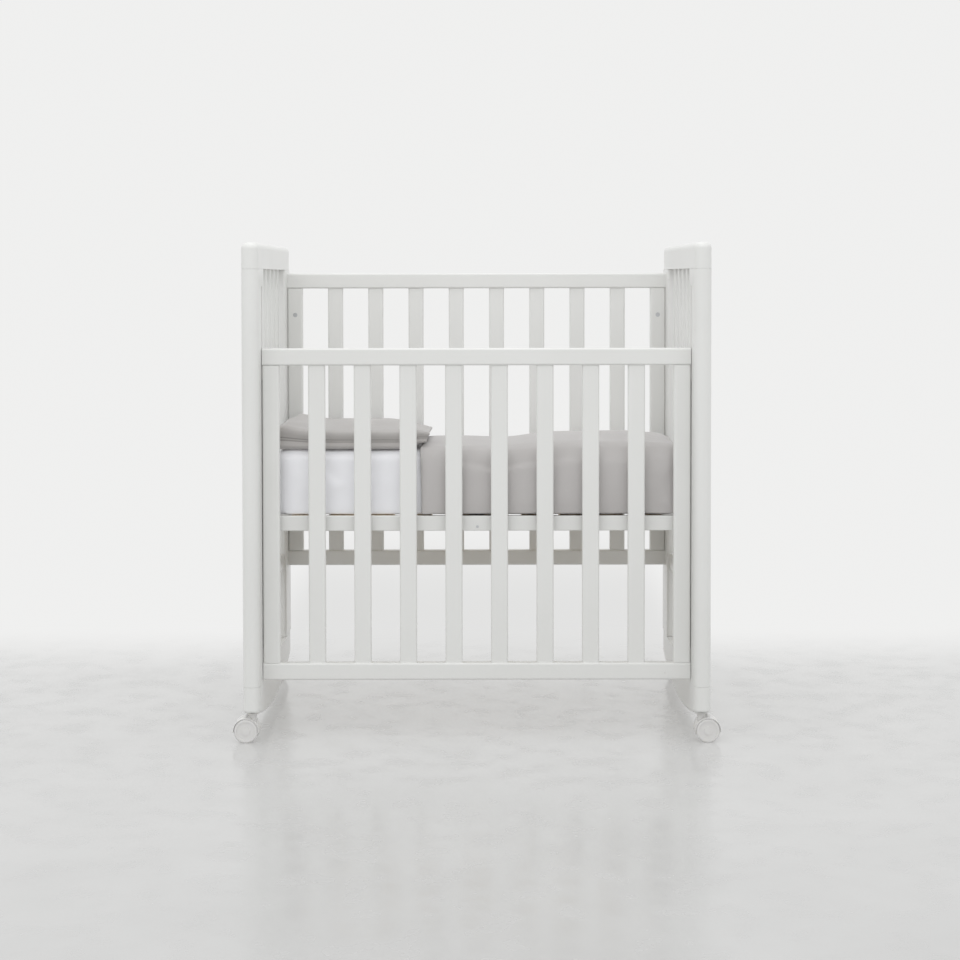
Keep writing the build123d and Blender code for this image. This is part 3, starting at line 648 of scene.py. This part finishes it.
# %% Pillow
low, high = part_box("pillow")
PILLOW_RIGHT = -0.097
SEAM_HEIGHT = 0.586
left_edge, right_edge = low.x + 0.004, PILLOW_RIGHT
middle = Vector(((left_edge + right_edge) / 2, (low.y + high.y) / 2, (low.z + high.z) / 2 - 0.0005))
size = Vector((right_edge - left_edge, high.y - low.y - 0.006, 0.035))
bpy.ops.mesh.primitive_cube_add(size=1, location=middle, scale=size)
pillow = place(bpy.context.object, "pillow_case")
choose(pillow, "EDGE", lambda spot, way: abs(way.z) > 0.5)
bpy.ops.mesh.bevel(offset=0.012, segments=4, affect="EDGES")
choose(pillow, "EDGE", lambda spot, way: abs(way.z) < 0.5)
bpy.ops.mesh.bevel(offset=0.006, segments=3, affect="EDGES")
bpy.ops.object.mode_set(mode="OBJECT")
finish_with(pillow, "REMESH", mode="VOXEL", voxel_size=0.005)
fill_out(pillow, 4.0, 0.003)
finish_with(pillow, "SUBSURF", levels=1, render_levels=1)
made = pillow.data.attributes.new("made", "FLOAT_VECTOR", "POINT")
for i, v in enumerate(pillow.data.vertices):
    x, y, z = v.co
    made.data[i].vector = (x, y, z)
    ax, ay = (x - middle.x) / (size.x / 2), (y - middle.y) / (size.y / 2)
    share = min(1.0, max(0.0, (z - low.z) / size.z))
    ear = smooth_step(ax, 0.86, 1) * smooth_step(-ay, 0.9, 1) * hump(share, 0.8, 0.45)
    v.co.x += 0.012 * ear
    front = smooth_step(-ay, 0.9, 1)
    pinch = 0.0035 * hump(z, SEAM_HEIGHT + 0.003, 0.012) - 0.003 * hump(z, SEAM_HEIGHT - 0.008, 0.007)
    v.co.y += front * pinch
    crown = 0.0015 * (1 - smooth_step(abs(ax), 0.2, 1)) * (1 - smooth_step(abs(ay), 0.3, 1))
    tilt = 0.017 * smooth_step(ax, 0.35, 1) * smooth_step(ay, -0.95, -0.1)
    tilt -= 0.010 * smooth_step(-ax, 0.45, 0.95)
    creases = 0.0016 * noise.noise((x * 18, y * 9, 7)) + 0.001 * noise.noise((x * 42, y * 16, 2))
    v.co.z += share * (crown - tilt + creases) - 0.45 * rear_slope(y)
    v.co.z += (1 - share) * 0.012 * smooth_step(x, -0.14, -0.114)
pick(pillow)
bpy.ops.object.shade_smooth()
pillow.data.materials.append(grey_pillow)
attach(pillow, "frame")
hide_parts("pillow")

# %% [markdown]
# ## Small fasteners
#
# One countersunk screw shows in the middle of the platform's front rail, and one small plug in the front
# side's bottom bar.

# %% Screw and plug


def dot(name, middle, radius, reach, body, look):
    """A small round head that looks forward, with its rim bevelled."""
    bpy.ops.mesh.primitive_cylinder_add(vertices=24, radius=radius, depth=reach, location=middle,
                                        rotation=(math.radians(90), 0, 0))
    head = place(bpy.context.object, name)
    choose(head, "EDGE", lambda spot, way: abs(way.y) < 0.5 and spot.y < middle[1])
    bpy.ops.mesh.bevel(offset=radius * 0.15, segments=2, affect="EDGES")
    bpy.ops.object.mode_set(mode="OBJECT")
    head.data.materials.append(looks[look])
    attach(head, body)
    return head


rail_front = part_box("platform_front_rail")[0].y
bar_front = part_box("front_bottom_bar")[0].y
dot("rail_screw", (0.0015, rail_front, 0.4185), 0.0028, 0.0012, "frame", "zinc_steel")
dot("bar_plug", (0.3756, bar_front, 0.1302), 0.0022, 0.0012, "front_side", "white_plastic")
